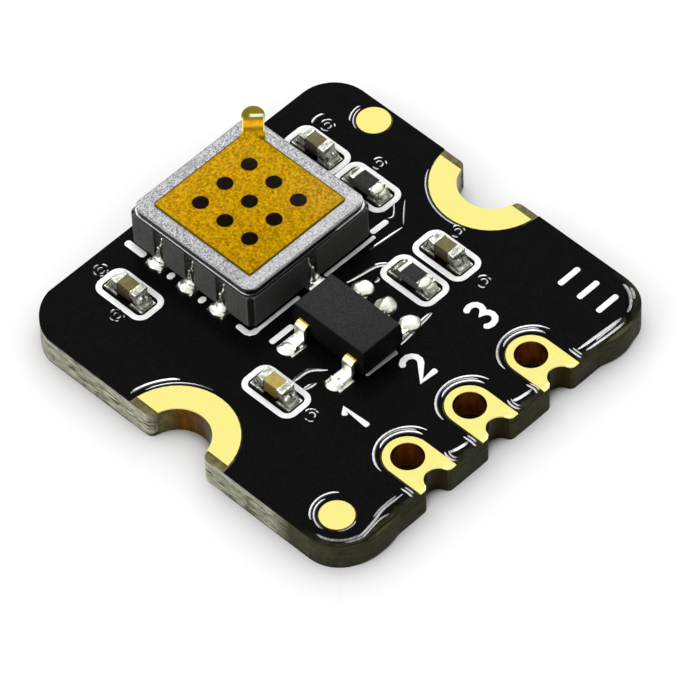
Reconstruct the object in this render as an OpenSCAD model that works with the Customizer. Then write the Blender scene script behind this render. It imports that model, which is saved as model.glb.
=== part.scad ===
// Gas sensor breakout module: a small board that carries a ceramic MEMS gas
// sensor with a perforated lid, a five-lead regulator and six chip parts.
// Units are millimetres. X runs along the pin edge, Y from the pin edge to
// the back edge, Z up. The board rests on Z = 0 with its lower gold lands.

/* [Board] */
// Side of the square board
board_side = 13.0; // [12.8:0.1:15]
// Radius of the four board corners
corner_r = 1.25; // [0.3:0.05:1.6]
// Thickness of the bare laminate
core_t = 0.92; // [0.6:0.02:1.6]
// Thickness of the solder mask on each face
mask_t = 0.035; // [0.025:0.005:0.04]
// Thickness of the bare gold-plated lands
land_t = 0.04; // [0.04:0.005:0.06]
// Thickness of the covered copper traces
trace_t = 0.02; // [0.01:0.005:0.02]
// Gap between a bare land and the mask round it
mask_gap = 0.05; // [0.02:0.01:0.08]

/* [Pins] */
// Pitch of the three pin holes
pin_pitch = 2.54; // [2.3:0.02:3]
// Bore of each plated pin hole
pin_bore = 1.0; // [0.8:0.05:1.1]
// Distance from the pin edge to the hole row
pin_inset = 1.2; // [1.1:0.05:1.4]
// Width of each pin land
pin_land_w = 1.46; // [1.3:0.02:1.6]
// Bore of the half holes in the pin edge
edge_bore = 0.84; // [0.6:0.02:0.9]
// Wall of the plating inside the holes
plating_t = 0.018; // [0.01:0.002:0.03]

/* [Mounting notches] */
// Bore of the half-round screw notches
notch_bore = 2.06; // [1.6:0.02:2.4]
// Outer diameter of the half-ring lands
notch_land_d = 3.7; // [3:0.05:4]
// Set-back of the half-ring lands from the board's side
notch_inset = 0.25; // [0.1:0.05:0.4]

/* [Test lands and vias] */
// Diameter of the two round test lands
test_d = 1.04; // [0.7:0.02:1.2]
// Outer diameter of a via barrel
via_d = 0.3; // [0.2:0.02:0.36]
// Bore of a via barrel
via_bore = 0.2; // [0.1:0.02:0.26]
// Diameter of the copper ring round a via
via_ring_d = 0.52; // [0.4:0.02:0.6]
// Width of a thin trace
trace_w = 0.2; // [0.12:0.02:0.3]
// Width of a wide trace
feed_w = 0.42; // [0.3:0.02:0.45]
// Set-back of the ground plane from the board's outline
plane_inset = 0.3; // [0.2:0.05:0.5]
// Gap between the ground plane and the lands it passes
plane_gap = 0.25; // [0.15:0.05:0.35]

/* [Sensor] */
// Side of the ceramic package
sensor_side = 5.0; // [4.6:0.1:5.2]
// Height of the ceramic package
sensor_wall_h = 1.2; // [1:0.05:1.5]
// Radius of the package's upright corners
sensor_r = 0.25; // [0.1:0.05:0.4]
// Thickness of the package floor
floor_t = 0.4; // [0.3:0.05:0.5]
// Height of the bond shelf above the floor
shelf_h = 0.3; // [0.2:0.05:0.4]
// Side of the lower cavity
cavity_side = 3.0; // [2.6:0.1:3.2]
// Side of the upper cavity
mouth_side = 4.1; // [3.9:0.05:4.2]
// Radius of the wall grooves that hold the terminals
groove_r = 0.2; // [0.15:0.01:0.24]
// Pitch of the three grooves on a side
groove_pitch = 1.27; // [1.1:0.01:1.4]
// Wall of the metal lining in a groove
lining_t = 0.03; // [0.02:0.005:0.04]
// Thickness of the terminal pads under the package
terminal_t = 0.03; // [0.02:0.005:0.05]
// Depth of a terminal pad under the package
terminal_l = 0.55; // [0.4:0.05:0.7]
// Width of a terminal pad
terminal_w = 0.6; // [0.5:0.02:0.7]
// Thickness of solder between a terminal and its pad
solder_t = 0.02; // [0.01:0.005:0.04]

/* [Lid and film] */
// Side of the seal ring
ring_side = 4.92; // [4.5:0.02:5]
// Height of the seal ring
ring_h = 0.09; // [0.05:0.01:0.15]
// Side of the lid
lid_side = 4.86; // [4.5:0.02:4.9]
// Radius of the lid's corners
lid_r = 0.38; // [0.2:0.02:0.5]
// Thickness of the lid's plate
lid_t = 0.12; // [0.08:0.01:0.2]
// Bevel of the lid's upper edge
lid_bevel = 0.05; // [0.02:0.01:0.07]
// Height of the lid's stepped foot
lid_foot_h = 0.09; // [0.05:0.01:0.15]
// Set-back of the lid's foot from its rim
lid_foot_inset = 0.12; // [0.06:0.02:0.16]
// Bore of the nine gas holes
gas_bore = 0.5; // [0.3:0.02:0.6]
// Pitch of the nine gas holes
gas_pitch = 1.0; // [0.9:0.02:1.1]
// Side of the protective film
film_side = 3.96; // [3.6:0.02:4.1]
// Thickness of the film
film_t = 0.04; // [0.03:0.005:0.06]
// Width of the film's pull tab
tab_w = 0.66; // [0.4:0.02:0.7]
// Length of the tab's raised end
tab_l = 0.36; // [0.34:0.02:0.6]
// Sideways shift of the tab from the lid's corner
tab_shift = 0.13; // [0:0.01:0.2]
// Angle at which the tab's end lifts
tab_lift = 5; // [2:1:40]

/* [Sensor chip] */
// Side of the chip
die_side = 1.5; // [1.2:0.05:1.7]
// Thickness of the chip
die_t = 0.3; // [0.2:0.02:0.34]
// Side of the sensing film on the chip
layer_side = 0.6; // [0.4:0.05:0.7]
// Thickness of the glue under the chip
glue_t = 0.03; // [0.02:0.005:0.05]
// Diameter of a bond wire
wire_d = 0.04; // [0.03:0.005:0.05]
// Rise of a bond wire above the chip
wire_rise = 0.2; // [0.15:0.01:0.3]
// Pitch of the bond pads
bond_pitch = 0.45; // [0.35:0.05:0.5]

/* [Regulator] */
// Length of the moulded body
reg_l = 2.86; // [2.7:0.02:3]
// Width of the moulded body
reg_w = 1.62; // [1.5:0.02:1.7]
// Height of the moulded body
reg_h = 1.02; // [0.9:0.02:1.2]
// Gap under the moulded body
reg_gap = 0.08; // [0.04:0.01:0.12]
// Inward lean of the body's walls
reg_draft = 0.06; // [0.02:0.01:0.1]
// Span over the tips of the leads
reg_span = 2.8; // [2.6:0.02:3]
// Pitch of the leads
lead_pitch = 0.95; // [0.9:0.01:1]
// Width of a lead
lead_w = 0.4; // [0.3:0.02:0.44]
// Thickness of a lead
lead_t = 0.13; // [0.1:0.01:0.16]
// Length of a lead's flat foot
foot_l = 0.3; // [0.22:0.02:0.34]

/* [Chip parts] */
// Length of a chip part
chip_l = 1.0; // [0.9:0.02:1.1]
// Width of a chip part
chip_w = 0.5; // [0.44:0.02:0.56]
// Height of a chip capacitor
cap_h = 0.5; // [0.4:0.02:0.6]
// Height of a chip resistor
res_h = 0.33; // [0.28:0.01:0.4]
// Length of a metal end on a capacitor
cap_end_l = 0.24; // [0.18:0.02:0.3]
// Length of a metal end on a resistor
res_end_l = 0.2; // [0.16:0.02:0.26]
// Thickness of the metal on a chip part's end
end_t = 0.02; // [0.015:0.005:0.03]
// Thickness of the coat on a resistor
coat_t = 0.02; // [0.01:0.005:0.03]
// Reach of the solder past a chip part's end
fillet_l = 0.26; // [0.16:0.02:0.3]

/* [Hidden] */
$fn = 64;

half = board_side / 2;
z_core = land_t;
z_face = z_core + core_t;
z_top = z_face + mask_t;
z_land = z_face + land_t;
z_seat = z_land + solder_t;

pin_y = -half + pin_inset;
pin_x = [-pin_pitch, 0, pin_pitch];
test_front = [-half + 1.1, -half + 1.2];

// Where the parts stand on the board
sensor_at = [0.22, 3.66];
reg_at = [-0.57, -1.04];
cap_at = [[-3.72, 4.7], [3.9, 4.6], [3.58, -0.98], [-3.4, -0.93]];
res_at = [[3.88, 2.53], [2.27, -0.95]];
test_back = [half - 0.62, sensor_at[1] + 0.54];
via_at = [[-3.66, 5.95], [-4.52, 4.4], [4.81, 5.05], [4.78, 2.9],
          [4.46, -0.58], [3.6, -2.44], [-3.33, -2.27]];

// The sensor's own heights
z_terminal = z_seat;
z_pkg = z_terminal + terminal_t;
z_cavity = z_pkg + floor_t;
z_shelf = z_cavity + shelf_h;
z_ring = z_pkg + sensor_wall_h;
z_foot = z_ring + ring_h;
z_plate = z_foot + lid_foot_h;
z_lid = z_plate + lid_t;
groove_y = [-groove_pitch, 0, groove_pitch];
// Each terminal: place along its side, then the turn of that side
terminals = [for (s = [0, 180]) for (g = groove_y) [g, s], [0, 90], [0, 270]];

// The regulator's own heights and its leads: place along Y, then side
z_reg = z_top + reg_gap;
z_lead = z_reg + reg_h / 2;
leads = [[lead_pitch, 180], [-lead_pitch, 180],
         [-lead_pitch, 0], [0, 0], [lead_pitch, 0]];
lead_bend = lead_t + 0.06;

// The pads and the solder on them
pad_l = 0.52;
pad_rim = 0.02;
pad_reach = chip_l / 2 + fillet_l + pad_rim;
pad_out = 0.3;
pad_side = 0.1;
heel_gap = 0.08;
toe_l = 0.19;
wet_side = 0.05;
under_l = 0.2;
cut = 0.01;

// Bends of the covered traces, each from its first point to its last
sense_route = [[-2.54, -4.2], [-4.3, -2.5], [-4.3, 1.9], [-3.81, 2.39]];
supply_route = [[0, -4.0], [0.83, -3.1], [0.83, -2.2]];
ground_bend = [2.54, -3.6];
input_bend = [-2.3, -1.28];
output_bend = [1.6, 0.1];
heater_route = [[0.3, 0.97], [3.4, 0.97], [3.88, 1.45]];
chip_end = [0, 0.45];
chip_tip = [0, 0.6];
lead_tip = [1.4, 0.95];

module rounded(side_x, side_y, r) {
    x = side_x / 2 - r;
    y = side_y / 2 - r;
    union() {
        square([side_x, side_y - 2 * r], center = true);
        square([side_x - 2 * r, side_y], center = true);
        for (sx = [-1, 1]) for (sy = [-1, 1]) translate([sx * x, sy * y]) circle(r);
    }
}

module slab(z0, z1) {
    translate([0, 0, z0]) linear_extrude(z1 - z0) children();
}

// Board outline, with the pin edge's half holes and the side notches
module outline(grow = 0) {
    difference() {
        rounded(board_side, board_side, corner_r);
        for (x = pin_x) translate([x, -half]) circle(edge_bore / 2 + grow);
        for (s = [-1, 1]) translate([s * half, 0]) circle(notch_bore / 2 + grow);
    }
}

// A pin land: round behind the hole, straight to the pin edge
module pin_land_shape(e = 0) {
    translate([0, pin_y]) circle(pin_land_w / 2 + e);
    translate([-pin_land_w / 2 - e, -half]) square([pin_land_w + 2 * e, pin_inset]);
}

module notch_land_shape(e = 0, inset = 0) {
    intersection() {
        circle(notch_land_d / 2 + e);
        translate([-notch_land_d, -notch_land_d]) square([notch_land_d - inset, 2 * notch_land_d]);
    }
}

module chip_pads(e = 0) {
    for (s = [-1, 1]) translate([0, s * (pad_reach - pad_l / 2)])
        square([chip_w + 3 * pad_rim + 2 * e, pad_l + 2 * e], center = true);
}

module terminal_pad(e = 0) {
    x0 = sensor_side / 2 - terminal_l - e;
    translate([x0, -terminal_w / 2 - e]) square([terminal_l + pad_out + 2 * e, terminal_w + 2 * e]);
}

module lead_pad(e = 0) {
    x0 = reg_span / 2 - foot_l - heel_gap - e;
    translate([x0, -lead_w / 2 - pad_side - e])
        square([foot_l + pad_out + 2 * e, lead_w + 2 * (pad_side + e)]);
}

// Every bare pad that a part is soldered to
module all_pads(e = 0) {
    for (p = cap_at) translate(p) chip_pads(e);
    for (p = res_at) translate(p) chip_pads(e);
    translate(sensor_at) for (t = terminals) rotate(t[1]) translate([0, t[0]]) terminal_pad(e);
    translate(reg_at) for (t = leads) rotate(t[1]) translate([0, (t[1] == 0 ? 1 : -1) * t[0]]) lead_pad(e);
}

// Every bare land and pad, for the openings in the mask
module bare(e) {
    for (x = pin_x) translate([x, 0]) pin_land_shape(e);
    for (s = [0, 180]) rotate(s) translate([half, 0]) notch_land_shape(e);
}

module run(points, w) {
    for (i = [0 : len(points) - 2]) {
        a = points[i];
        b = points[i + 1];
        d = b - a;
        translate(a) rotate(atan2(d[1], d[0])) translate([0, -w / 2]) square([norm(d), w]);
    }
    for (p = points) translate(p) circle(w / 2, $fn = 24);
}

// Copper that runs under the top mask
module trace_shape() {
    pin_top = pin_y + pin_land_w / 2;
    difference() {
        union() {
            run(concat([[pin_x[0], pin_top]], sense_route,
                [sensor_at + [-sensor_side / 2, -groove_pitch]]), trace_w);
            run(concat([[0, pin_top]], supply_route), trace_w);
            run([[pin_x[2], pin_top], ground_bend, via_at[5]], feed_w);
            run([via_at[5], cap_at[2] - chip_tip], trace_w);
            run([via_at[4], cap_at[2] + chip_end], trace_w);
            run([cap_at[3] - chip_end, input_bend, reg_at - lead_tip], feed_w);
            run([via_at[6], cap_at[3] - chip_tip], trace_w);
            run([reg_at + lead_tip, output_bend, res_at[1] + chip_end], feed_w);
            run(concat([sensor_at - [0, sensor_side / 2]], heater_route, [res_at[0] - chip_end]), feed_w);
            run([via_at[3], res_at[0] + chip_end], trace_w);
            run([via_at[2], cap_at[1] + chip_end], trace_w);
            run([via_at[0], cap_at[0] + chip_tip], trace_w);
            run([via_at[1], cap_at[0] - chip_end], trace_w);
            for (v = via_at) translate(v) circle(via_ring_d / 2);
        }
        all_pads();
        bare(0);
        for (v = via_at) translate(v) circle(via_d / 2);
    }
}

// Copper plane under the bottom mask, joined to the third pin
module plane_shape() {
    difference() {
        rounded(board_side - 2 * plane_inset, board_side - 2 * plane_inset, corner_r - 0.2);
        for (i = [0, 1, 2]) translate([pin_x[i], 0]) pin_land_shape(i == 2 ? 0 : plane_gap);
        for (s = [0, 180]) rotate(s) translate([half, 0]) circle(notch_land_d / 2 + plane_gap);
        for (v = via_at) translate(v) circle(via_d / 2);
    }
}

// Room in a mask for the end of each via barrel
module via_pockets(z0, z1) {
    slab(z0, z1) for (v = via_at) translate(v) circle(via_d / 2, $fn = 24);
}

// The laminate, drilled for the plating of every hole
module board_core() {
    color("tan") difference() {
        slab(z_core, z_face) outline(plating_t);
        for (x = pin_x) translate([x, pin_y, 0]) cylinder(h = z_land, d = pin_bore + 2 * plating_t);
        for (v = via_at) translate([v[0], v[1], 0]) cylinder(h = z_land, d = via_d, $fn = 24);
    }
}

module mask_top() {
    color("black") difference() {
        slab(z_face, z_top) difference() {
            rounded(board_side, board_side, corner_r);
            bare(mask_gap);
            all_pads(mask_gap);
            translate(test_front) circle(test_d / 2 + mask_gap);
            translate(test_back) circle(test_d / 2 + mask_gap);
        }
        slab(z_face - cut, z_face + trace_t) trace_shape();
        via_pockets(z_face - cut, z_face + trace_t);
    }
}

module mask_bottom() {
    color("black") difference() {
        slab(z_core - mask_t, z_core) difference() {
            rounded(board_side, board_side, corner_r);
            bare(mask_gap);
        }
        slab(z_core - trace_t, z_core + cut) plane_shape();
        via_pockets(z_core - trace_t, z_core + cut);
    }
}

module traces_top() {
    color("peru") slab(z_face, z_face + trace_t) trace_shape();
}

module ground_plane() {
    color("peru") slab(z_core - trace_t, z_core) difference() {
        plane_shape();
        translate([pin_x[2], 0]) pin_land_shape(0);
    }
}

module via_barrels() {
    color("peru") for (v = via_at) translate([v[0], v[1], z_core - trace_t]) difference() {
        cylinder(h = core_t + 2 * trace_t, d = via_d, $fn = 24);
        translate([0, 0, -cut]) cylinder(h = core_t + 1, d = via_bore, $fn = 24);
    }
}

// One plated pin: two lands, the hole's barrel and the half hole's lining
module plated_pin(x) {
    color("gold") difference() {
        union() {
            for (z = [[z_core - land_t, z_core], [z_face, z_land]]) slab(z[0], z[1])
                translate([x, 0]) pin_land_shape();
            translate([x, pin_y, z_core]) cylinder(h = core_t, d = pin_bore + 2 * plating_t);
            slab(z_core, z_face) intersection() {
                translate([x, -half]) circle(edge_bore / 2 + plating_t);
                translate([x - 1, -half]) square([2, 1]);
            }
        }
        translate([x, pin_y, -cut]) cylinder(h = z_land + 1, d = pin_bore);
        translate([x, -half, -cut]) cylinder(h = z_land + 1, d = edge_bore);
    }
}

module pin_land_1() { plated_pin(pin_x[0]); }
module pin_land_2() { plated_pin(pin_x[1]); }
module pin_land_3() { plated_pin(pin_x[2]); }

// One plated notch: two half rings and the lining between them
module plated_notch(turn) {
    color("gold") rotate(turn) translate([half, 0, 0]) difference() {
        union() {
            for (z = [[z_core - land_t, z_core], [z_face, z_land]])
                slab(z[0], z[1]) notch_land_shape(0, notch_inset);
            slab(z_core, z_face) intersection() {
                circle(notch_bore / 2 + plating_t);
                translate([-3, -3]) square([3 - notch_inset, 6]);
            }
        }
        translate([0, 0, -cut]) cylinder(h = z_land + 1, d = notch_bore);
    }
}

module notch_land_right() { plated_notch(0); }
module notch_land_left() { plated_notch(180); }

module test_land_front() {
    color("gold") translate([test_front[0], test_front[1], z_face]) cylinder(h = land_t, d = test_d);
}

module test_land_back() {
    color("gold") translate([test_back[0], test_back[1], z_face]) cylinder(h = land_t, d = test_d);
}

module solder_pads() {
    color("gold") slab(z_face, z_land) all_pads();
}

module at_sensor(z = 0) {
    translate([sensor_at[0], sensor_at[1], z]) children();
}

// Puts a child at each terminal, with +X out of the package
module at_terminals() {
    for (t = terminals) rotate(t[1]) translate([sensor_side / 2, t[0], 0]) children();
}

// The ceramic package: floor, bond shelf, wall and eight grooves
module sensor_body() {
    color("dimgray") at_sensor() difference() {
        slab(z_pkg, z_ring) rounded(sensor_side, sensor_side, sensor_r);
        slab(z_cavity, z_ring + 1) rounded(cavity_side, cavity_side, 0.2);
        slab(z_shelf, z_ring + 1) rounded(mouth_side, mouth_side, 0.25);
        at_terminals() cylinder(h = 10, r = groove_r, $fn = 32);
    }
}

// One terminal: the pad under the package and the groove's metal lining
module terminal() {
    lining_h = sensor_wall_h * 0.7;
    difference() {
        union() {
            translate([-terminal_l, -terminal_w / 2, z_terminal])
                cube([terminal_l, terminal_w, terminal_t]);
            intersection() {
                translate([0, 0, z_terminal]) cylinder(h = terminal_t + lining_h, r = groove_r, $fn = 32);
                translate([-1, -1, 0]) cube([1, 2, 10]);
            }
        }
        cylinder(h = 10, r = groove_r - lining_t, $fn = 32);
    }
}

module sensor_terminals() {
    color("silver") at_sensor() at_terminals() terminal();
}

// Solder at one terminal: a wetted pad and a cone that climbs the groove
module terminal_joint() {
    climb = sensor_wall_h * 0.55;
    foot_r = terminal_w / 2 + 0.02;
    steps = 8;
    wet = 0.05;
    difference() {
        union() {
            slab(z_land, z_seat) translate([-terminal_l, -terminal_w / 2])
                square([terminal_l + pad_out - 2 * pad_rim, terminal_w]);
            translate([0, 0, z_land]) rotate_extrude($fn = 48) polygon(concat([[0, 0]],
                [for (i = [0 : steps]) let (u = i / steps)
                    [foot_r - (foot_r - wet) * sin(90 * u), solder_t + climb * (1 - cos(90 * u))]],
                [[0, solder_t + climb]]));
        }
        difference() {
            slab(z_seat, 10) translate([-2, -2]) square([2, 4]);
            cylinder(h = 10, r = groove_r - lining_t, $fn = 32);
        }
        slab(0, 10) translate([terminal_w / 2 - 0.03, -2]) square([2, 4]);
    }
}

module sensor_solder() {
    color("white") at_sensor() at_terminals() terminal_joint();
}

module sensor_glue() {
    color("khaki") at_sensor() slab(z_cavity, z_cavity + glue_t) square(die_side - 0.1, center = true);
}

z_die = z_cavity + glue_t;
z_die_top = z_die + die_t;

module sensor_die() {
    color("slategray") at_sensor() slab(z_die, z_die_top) square(die_side, center = true);
}

module sensing_film() {
    color("maroon") at_sensor() slab(z_die_top, z_die_top + 0.02)
        rounded(layer_side, layer_side, 0.1);
}

bond_t = 0.015;
bond_y = [-bond_pitch, 0, bond_pitch];
die_bond_x = die_side / 2 - 0.12;
shelf_bond_x = (cavity_side + mouth_side) / 4;

module bond_pads() {
    color("gold") at_sensor() for (s = [0, 180]) rotate(s) for (y = bond_y)
        slab(z_shelf, z_shelf + bond_t) translate([shelf_bond_x, y])
            square([0.4, bond_pitch * 0.6], center = true);
}

// One wire: a ball on the chip, a rise, a long fall and a stitch
module bond_wire() {
    top = z_die_top + wire_rise;
    low = z_shelf + bond_t + wire_d / 2;
    run_x = shelf_bond_x - die_bond_x;
    fall = atan2(run_x, low - top);
    reach = sqrt(run_x * run_x + (top - low) * (top - low));
    translate([die_bond_x, 0, z_die_top]) cylinder(h = 0.04, d = wire_d * 2, $fn = 16);
    translate([die_bond_x, 0, z_die_top]) cylinder(h = wire_rise, d = wire_d, $fn = 16);
    translate([die_bond_x, 0, top]) sphere(d = wire_d, $fn = 16);
    translate([die_bond_x, 0, top]) rotate([0, fall, 0]) cylinder(h = reach, d = wire_d, $fn = 16);
    translate([shelf_bond_x, 0, z_shelf + bond_t]) cylinder(h = wire_d, d = wire_d * 1.8, $fn = 16);
}

module bond_wires() {
    color("gold") at_sensor() for (s = [0, 180]) rotate(s) for (y = bond_y)
        translate([0, y, 0]) bond_wire();
}

module seal_ring() {
    color("silver") at_sensor() slab(z_ring, z_foot) difference() {
        rounded(ring_side, ring_side, lid_r);
        rounded(mouth_side, mouth_side, 0.25);
    }
}

// The stamped lid: a bevelled plate on a stepped foot, with nine holes
module sensor_lid() {
    foot = lid_side - 2 * lid_foot_inset;
    color("gainsboro") at_sensor() difference() {
        union() {
            slab(z_plate, z_lid) rounded(lid_side, lid_side, lid_r);
            slab(z_foot, z_plate) difference() {
                rounded(foot, foot, lid_r - 0.08);
                rounded(mouth_side, mouth_side, 0.25);
            }
        }
        for (a = [0 : 90 : 270]) rotate(a) translate([lid_side / 2, 0, z_lid])
            rotate([0, 45, 0]) cube([lid_bevel * sqrt(2), 8, lid_bevel * sqrt(2)], center = true);
        for (i = [-1 : 1]) for (j = [-1 : 1])
            translate([i * gas_pitch, j * gas_pitch, z_plate - cut]) cylinder(h = 1, d = gas_bore);
    }
}

// The protective film: a square with a tab over the lid's back corner
module sensor_film() {
    lid_corner = (lid_side / 2 - lid_r) * sqrt(2) + lid_r;
    color("orange") at_sensor(z_lid) union() {
        linear_extrude(film_t) rounded(film_side, film_side, 0.1);
        rotate([0, 0, 45]) {
            translate([lid_corner - 1.2, -tab_w / 2 - tab_shift, 0]) cube([1.2, tab_w, film_t]);
            translate([lid_corner, -tab_shift, 0]) rotate([0, -tab_lift, 0]) intersection() {
                union() {
                    translate([0, -tab_w / 2, 0]) cube([tab_l - tab_w / 2, tab_w, film_t]);
                    translate([tab_l - tab_w / 2, 0, 0]) cylinder(h = film_t, d = tab_w);
                }
                translate([0, -tab_w, 0]) cube([tab_l + 1, 2 * tab_w, film_t]);
            }
        }
    }
}

module at_reg() {
    translate([reg_at[0], reg_at[1], 0]) children();
}

// Side profile of a lead, drawn with X out and Y up
module lead_profile() {
    r = lead_bend;
    foot_z = z_seat;
    shank_x = reg_span / 2 - foot_l - r + lead_t;
    top = z_lead + lead_t / 2;
    union() {
        translate([reg_w / 2 - 0.25, z_lead - lead_t / 2])
            square([shank_x - reg_w / 2 + 0.25 - r + cut, lead_t]);
        translate([shank_x - r, top - r]) intersection() {
            difference() {
                circle(r);
                circle(r - lead_t);
            }
            square(r);
        }
        translate([shank_x - lead_t, foot_z + r - cut]) square([lead_t, top - foot_z - 2 * r + 2 * cut]);
        translate([shank_x - lead_t + r, foot_z + r]) intersection() {
            difference() {
                circle(r);
                circle(r - lead_t);
            }
            translate([-r, -r]) square(r);
        }
        translate([shank_x - lead_t + r - cut, foot_z])
            square([reg_span / 2 - shank_x + lead_t - r + cut, lead_t]);
    }
}

module one_lead(i) {
    t = leads[i];
    y = t[1] == 0 ? t[0] : -t[0];
    at_reg() rotate(t[1]) translate([0, y + lead_w / 2, 0]) rotate([90, 0, 0])
        linear_extrude(lead_w) lead_profile();
}

module regulator_lead_1() { color("silver") one_lead(0); }
module regulator_lead_2() { color("silver") one_lead(1); }
module regulator_lead_3() { color("silver") one_lead(2); }
module regulator_lead_4() { color("silver") one_lead(3); }
module regulator_lead_5() { color("silver") one_lead(4); }

// Six-sided profile of the mould, leaning in above and below the leads
module mould_profile(w) {
    polygon([[-w / 2 + reg_draft, z_reg], [w / 2 - reg_draft, z_reg], [w / 2, z_lead],
             [w / 2 - reg_draft, z_reg + reg_h], [-w / 2 + reg_draft, z_reg + reg_h],
             [-w / 2, z_lead]]);
}

module regulator_body() {
    color("dimgray") difference() {
        at_reg() intersection() {
            translate([0, reg_l / 2, 0]) rotate([90, 0, 0]) linear_extrude(reg_l) mould_profile(reg_w);
            translate([-reg_w / 2, 0, 0]) rotate([90, 0, 90]) linear_extrude(reg_w) mould_profile(reg_l);
        }
        for (i = [0 : 4]) one_lead(i);
    }
}

// Solder round a lead's foot: a wetted pad, with a fillet at the toe
module lead_joint() {
    toe = reg_span / 2;
    rise = lead_t + 0.02;
    w = lead_w + 2 * wet_side;
    slab(z_land, z_seat) translate([toe - foot_l, -w / 2]) square([foot_l + toe_l, w]);
    translate([0, w / 2, z_land]) rotate([90, 0, 0]) linear_extrude(w) translate([toe, 0])
        difference() {
            square([toe_l, rise]);
            translate([toe_l + 0.02, rise + 0.03]) circle(r = toe_l * 0.84, $fn = 48);
        }
}

module regulator_solder() {
    color("white") at_reg() for (t = leads) rotate(t[1])
        translate([0, t[1] == 0 ? t[0] : -t[0], 0]) lead_joint();
}

// Chip capacitor: a ceramic block with a metal cup on each end
module chip_block(h, inset) {
    translate([0, (chip_l - 2 * inset) / 2, z_seat + h / 2]) rotate([90, 0, 0])
        linear_extrude(chip_l - 2 * inset) rounded(chip_w - 2 * inset, h - 2 * inset, 0.04);
}

module capacitor_body(i) {
    color("darkkhaki") translate([cap_at[i][0], cap_at[i][1], 0]) chip_block(cap_h, end_t);
}

module capacitor_ends(i) {
    color("silver") translate([cap_at[i][0], cap_at[i][1], 0]) difference() {
        chip_block(cap_h, 0);
        chip_block(cap_h, end_t);
        translate([-1, -(chip_l / 2 - cap_end_l), 0]) cube([2, chip_l - 2 * cap_end_l, 5]);
    }
}

module capacitor_1_body() { capacitor_body(0); }
module capacitor_2_body() { capacitor_body(1); }
module capacitor_3_body() { capacitor_body(2); }
module capacitor_4_body() { capacitor_body(3); }
module capacitor_1_ends() { capacitor_ends(0); }
module capacitor_2_ends() { capacitor_ends(1); }
module capacitor_3_ends() { capacitor_ends(2); }
module capacitor_4_ends() { capacitor_ends(3); }

// Chip resistor: a white base, a dark coat on top, metal round each end
module resistor_base(i) {
    l = chip_l - 2 * end_t;
    color("white") translate([res_at[i][0] - chip_w / 2, res_at[i][1] - l / 2, z_seat + end_t])
        cube([chip_w, l, res_h - 2 * end_t]);
}

module resistor_coat(i) {
    l = chip_l - 2 * res_end_l;
    color("black") translate([res_at[i][0] - chip_w / 2 + 0.02, res_at[i][1] - l / 2, z_seat + res_h - end_t])
        cube([chip_w - 0.04, l, coat_t]);
}

module resistor_ends(i) {
    color("silver") translate([res_at[i][0], res_at[i][1], z_seat]) difference() {
        translate([-chip_w / 2, -chip_l / 2, 0]) cube([chip_w, chip_l, res_h]);
        translate([-chip_w / 2 - 1, -chip_l / 2 + end_t, end_t])
            cube([chip_w + 2, chip_l - 2 * end_t, res_h - 2 * end_t]);
        translate([-1, -(chip_l / 2 - res_end_l), -1]) cube([2, chip_l - 2 * res_end_l, 5]);
    }
}

module resistor_1_base() { resistor_base(0); }
module resistor_2_base() { resistor_base(1); }
module resistor_1_coat() { resistor_coat(0); }
module resistor_2_coat() { resistor_coat(1); }
module resistor_1_ends() { resistor_ends(0); }
module resistor_2_ends() { resistor_ends(1); }

// Solder at a chip part's end: a wetted pad and a hollow fillet
module chip_joint(rise) {
    y0 = chip_l / 2;
    r = max(fillet_l, rise) * 1.15;
    slab(z_land, z_seat) translate([-chip_w / 2, y0 - under_l]) square([chip_w, fillet_l + under_l]);
    intersection() {
        translate([-chip_w / 2, y0, z_land]) rotate([90, 0, 90]) linear_extrude(chip_w) difference() {
            square([fillet_l, rise]);
            translate([fillet_l * 1.4, rise * 1.13]) circle(r = r * 0.82);
        }
        slab(0, 5) translate([0, y0]) rounded(chip_w, 2 * fillet_l, 5 * pad_rim);
    }
}

module chip_solder() {
    color("white") {
        for (p = cap_at) for (s = [0, 180]) translate([p[0], p[1], 0]) rotate(s)
            chip_joint(cap_h * 0.75);
        for (p = res_at) for (s = [0, 180]) translate([p[0], p[1], 0]) rotate(s)
            chip_joint(res_h * 0.85);
    }
}

board_core();
mask_top();
mask_bottom();
traces_top();
ground_plane();
via_barrels();
pin_land_1();
pin_land_2();
pin_land_3();
notch_land_left();
notch_land_right();
test_land_front();
test_land_back();
solder_pads();
sensor_body();
sensor_terminals();
sensor_solder();
sensor_glue();
sensor_die();
sensing_film();
bond_pads();
bond_wires();
seal_ring();
sensor_lid();
sensor_film();
regulator_body();
regulator_lead_1();
regulator_lead_2();
regulator_lead_3();
regulator_lead_4();
regulator_lead_5();
regulator_solder();
capacitor_1_body();
capacitor_2_body();
capacitor_3_body();
capacitor_4_body();
capacitor_1_ends();
capacitor_2_ends();
capacitor_3_ends();
capacitor_4_ends();
resistor_1_base();
resistor_2_base();
resistor_1_coat();
resistor_2_coat();
resistor_1_ends();
resistor_2_ends();
chip_solder();
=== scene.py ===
import math

import bmesh
import bpy
from mathutils import Matrix, Vector, noise


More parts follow.
